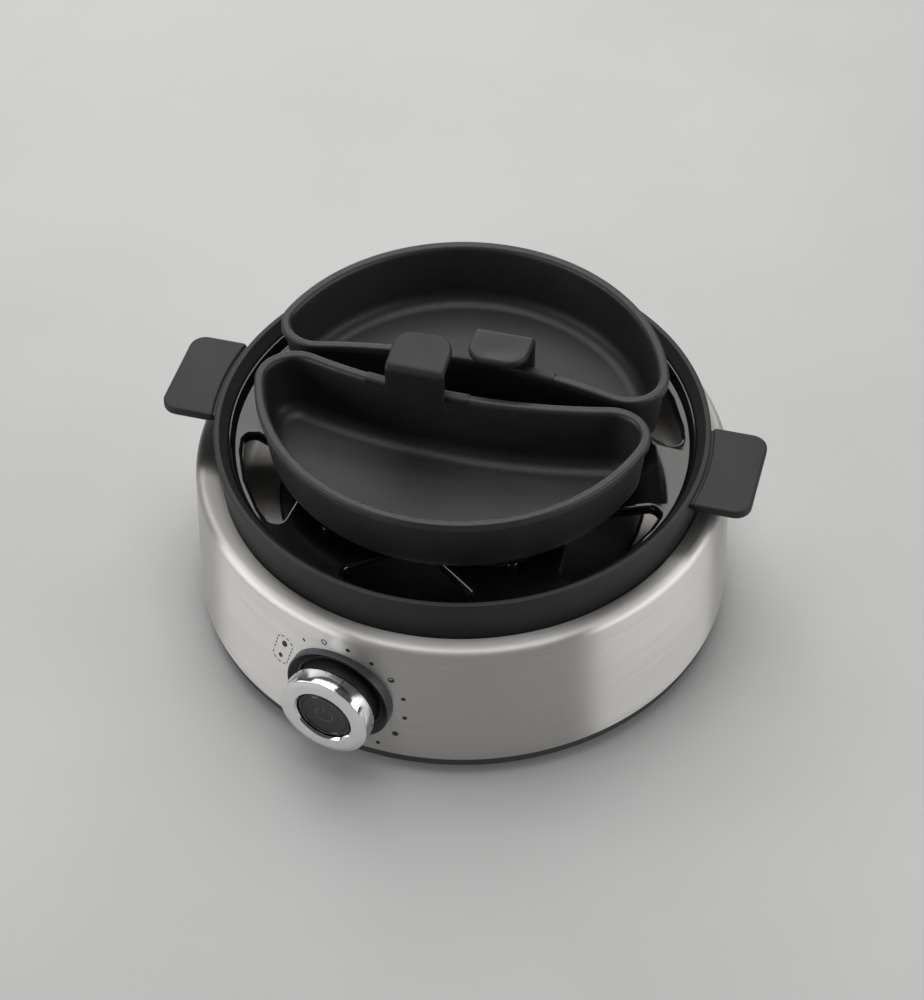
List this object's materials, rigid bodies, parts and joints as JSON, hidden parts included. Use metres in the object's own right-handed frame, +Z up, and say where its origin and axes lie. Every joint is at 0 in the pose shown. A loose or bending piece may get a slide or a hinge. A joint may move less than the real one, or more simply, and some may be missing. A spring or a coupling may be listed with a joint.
{
  "type": "egg cooker",
  "caption": "Round electric egg cooker: steel water bowl and heater, lift-off egg tray with paddle handles, two half-round poaching pans and a front knob.",
  "frame": {"origin": "on the table, under the axis of the round body, on the plane of the feet", "axes": "+Z up; -Y is the front with the knob; +X is to the right seen from the front"},
  "size_m": [0.22, 0.2159, 0.1156],
  "materials": {
    "steel_body": "brushed round the body",
    "steel_bowl": "satin",
    "coated_plate": "non-stick coating",
    "base_plastic": "fine grain",
    "ring_plastic": "fine matte grain",
    "tray_plastic": "glossy",
    "pan_coating": "satin non-stick",
    "grip_plastic": "satin gloss",
    "knob_plastic": "satin",
    "button_gloss": "glossy",
    "chrome": "polished",
    "rubber": "matte",
    "silicone": "matte",
    "zinc_steel": "zinc plated",
    "aluminium": "as rolled",
    "heater_tube": "oxidised",
    "bakelite": "moulded",
    "white_plastic": "moulded",
    "board_green": "solder mask",
    "relay_blue": "moulded",
    "lead_insulation": "silicone insulated",
    "brass": "plated",
    "fuse_ceramic": "ceramic"
  },
  "bodies": {
    "housing": {"housing_shell": "steel_body", "base_plate": "base_plastic", "foot_ring": "rubber", "base_screws": "zinc_steel", "mounting_posts": "zinc_steel", "heating_bowl": "steel_bowl", "heating_plate": "coated_plate", "bowl_seal": "silicone", "heating_element": "heater_tube", "heat_spreader": "aluminium", "thermostat": "bakelite", "thermostat_bracket": "zinc_steel", "thermal_fuse": "fuse_ceramic", "temperature_sensor": "brass", "heat_shield": "aluminium", "control_board": "board_green", "board_standoffs": "white_plastic", "board_screws": "zinc_steel", "relay": "relay_blue", "capacitor": "bakelite", "buzzer": "base_plastic", "terminal_block": "white_plastic", "cord_gland": "rubber", "cord_clamp": "white_plastic", "clamp_screws": "zinc_steel", "internal_leads": "lead_insulation", "rotary_control": "zinc_steel", "control_nut": "brass", "tact_switch": "bakelite", "knob_bezel": "knob_plastic"},
    "knob": {"control_shaft": "aluminium", "knob_hub": "knob_plastic", "knob_ring": "chrome"},
    "start_button": {"button_cap": "button_gloss", "button_plunger": "white_plastic", "button_spring": "zinc_steel"},
    "tray": {"carrier_ring": "ring_plastic", "egg_tray": "tray_plastic"},
    "front_pan": {"pan_front": "pan_coating", "grip_front": "grip_plastic"},
    "back_pan": {"pan_back": "pan_coating", "grip_back": "grip_plastic"}
  },
  "joints": [
    {"name": "knob_turn", "type": "hinge", "parent": "housing", "child": "knob", "pos_m": [0, -0.1, 0.0333], "axis": [0, 1, 0], "range_deg": [-88, 124]},
    {"name": "button_press", "type": "slide", "parent": "knob", "child": "start_button", "axis": [0, 1, 0], "range_m": [0, 0.0012], "stiffness_N_per_m": 900, "springref_m": -0.0006, "deforming": ["button_spring"]},
    {"name": "tray_lift", "type": "slide", "parent": "housing", "child": "tray", "axis": [0, 0, 1], "range_m": [0, 0.08]},
    {"name": "front_pan_lift", "type": "slide", "parent": "tray", "child": "front_pan", "axis": [0, 0, 1], "range_m": [0, 0.06]},
    {"name": "back_pan_lift", "type": "slide", "parent": "tray", "child": "back_pan", "axis": [0, 0, 1], "range_m": [0, 0.06]}
  ]
}
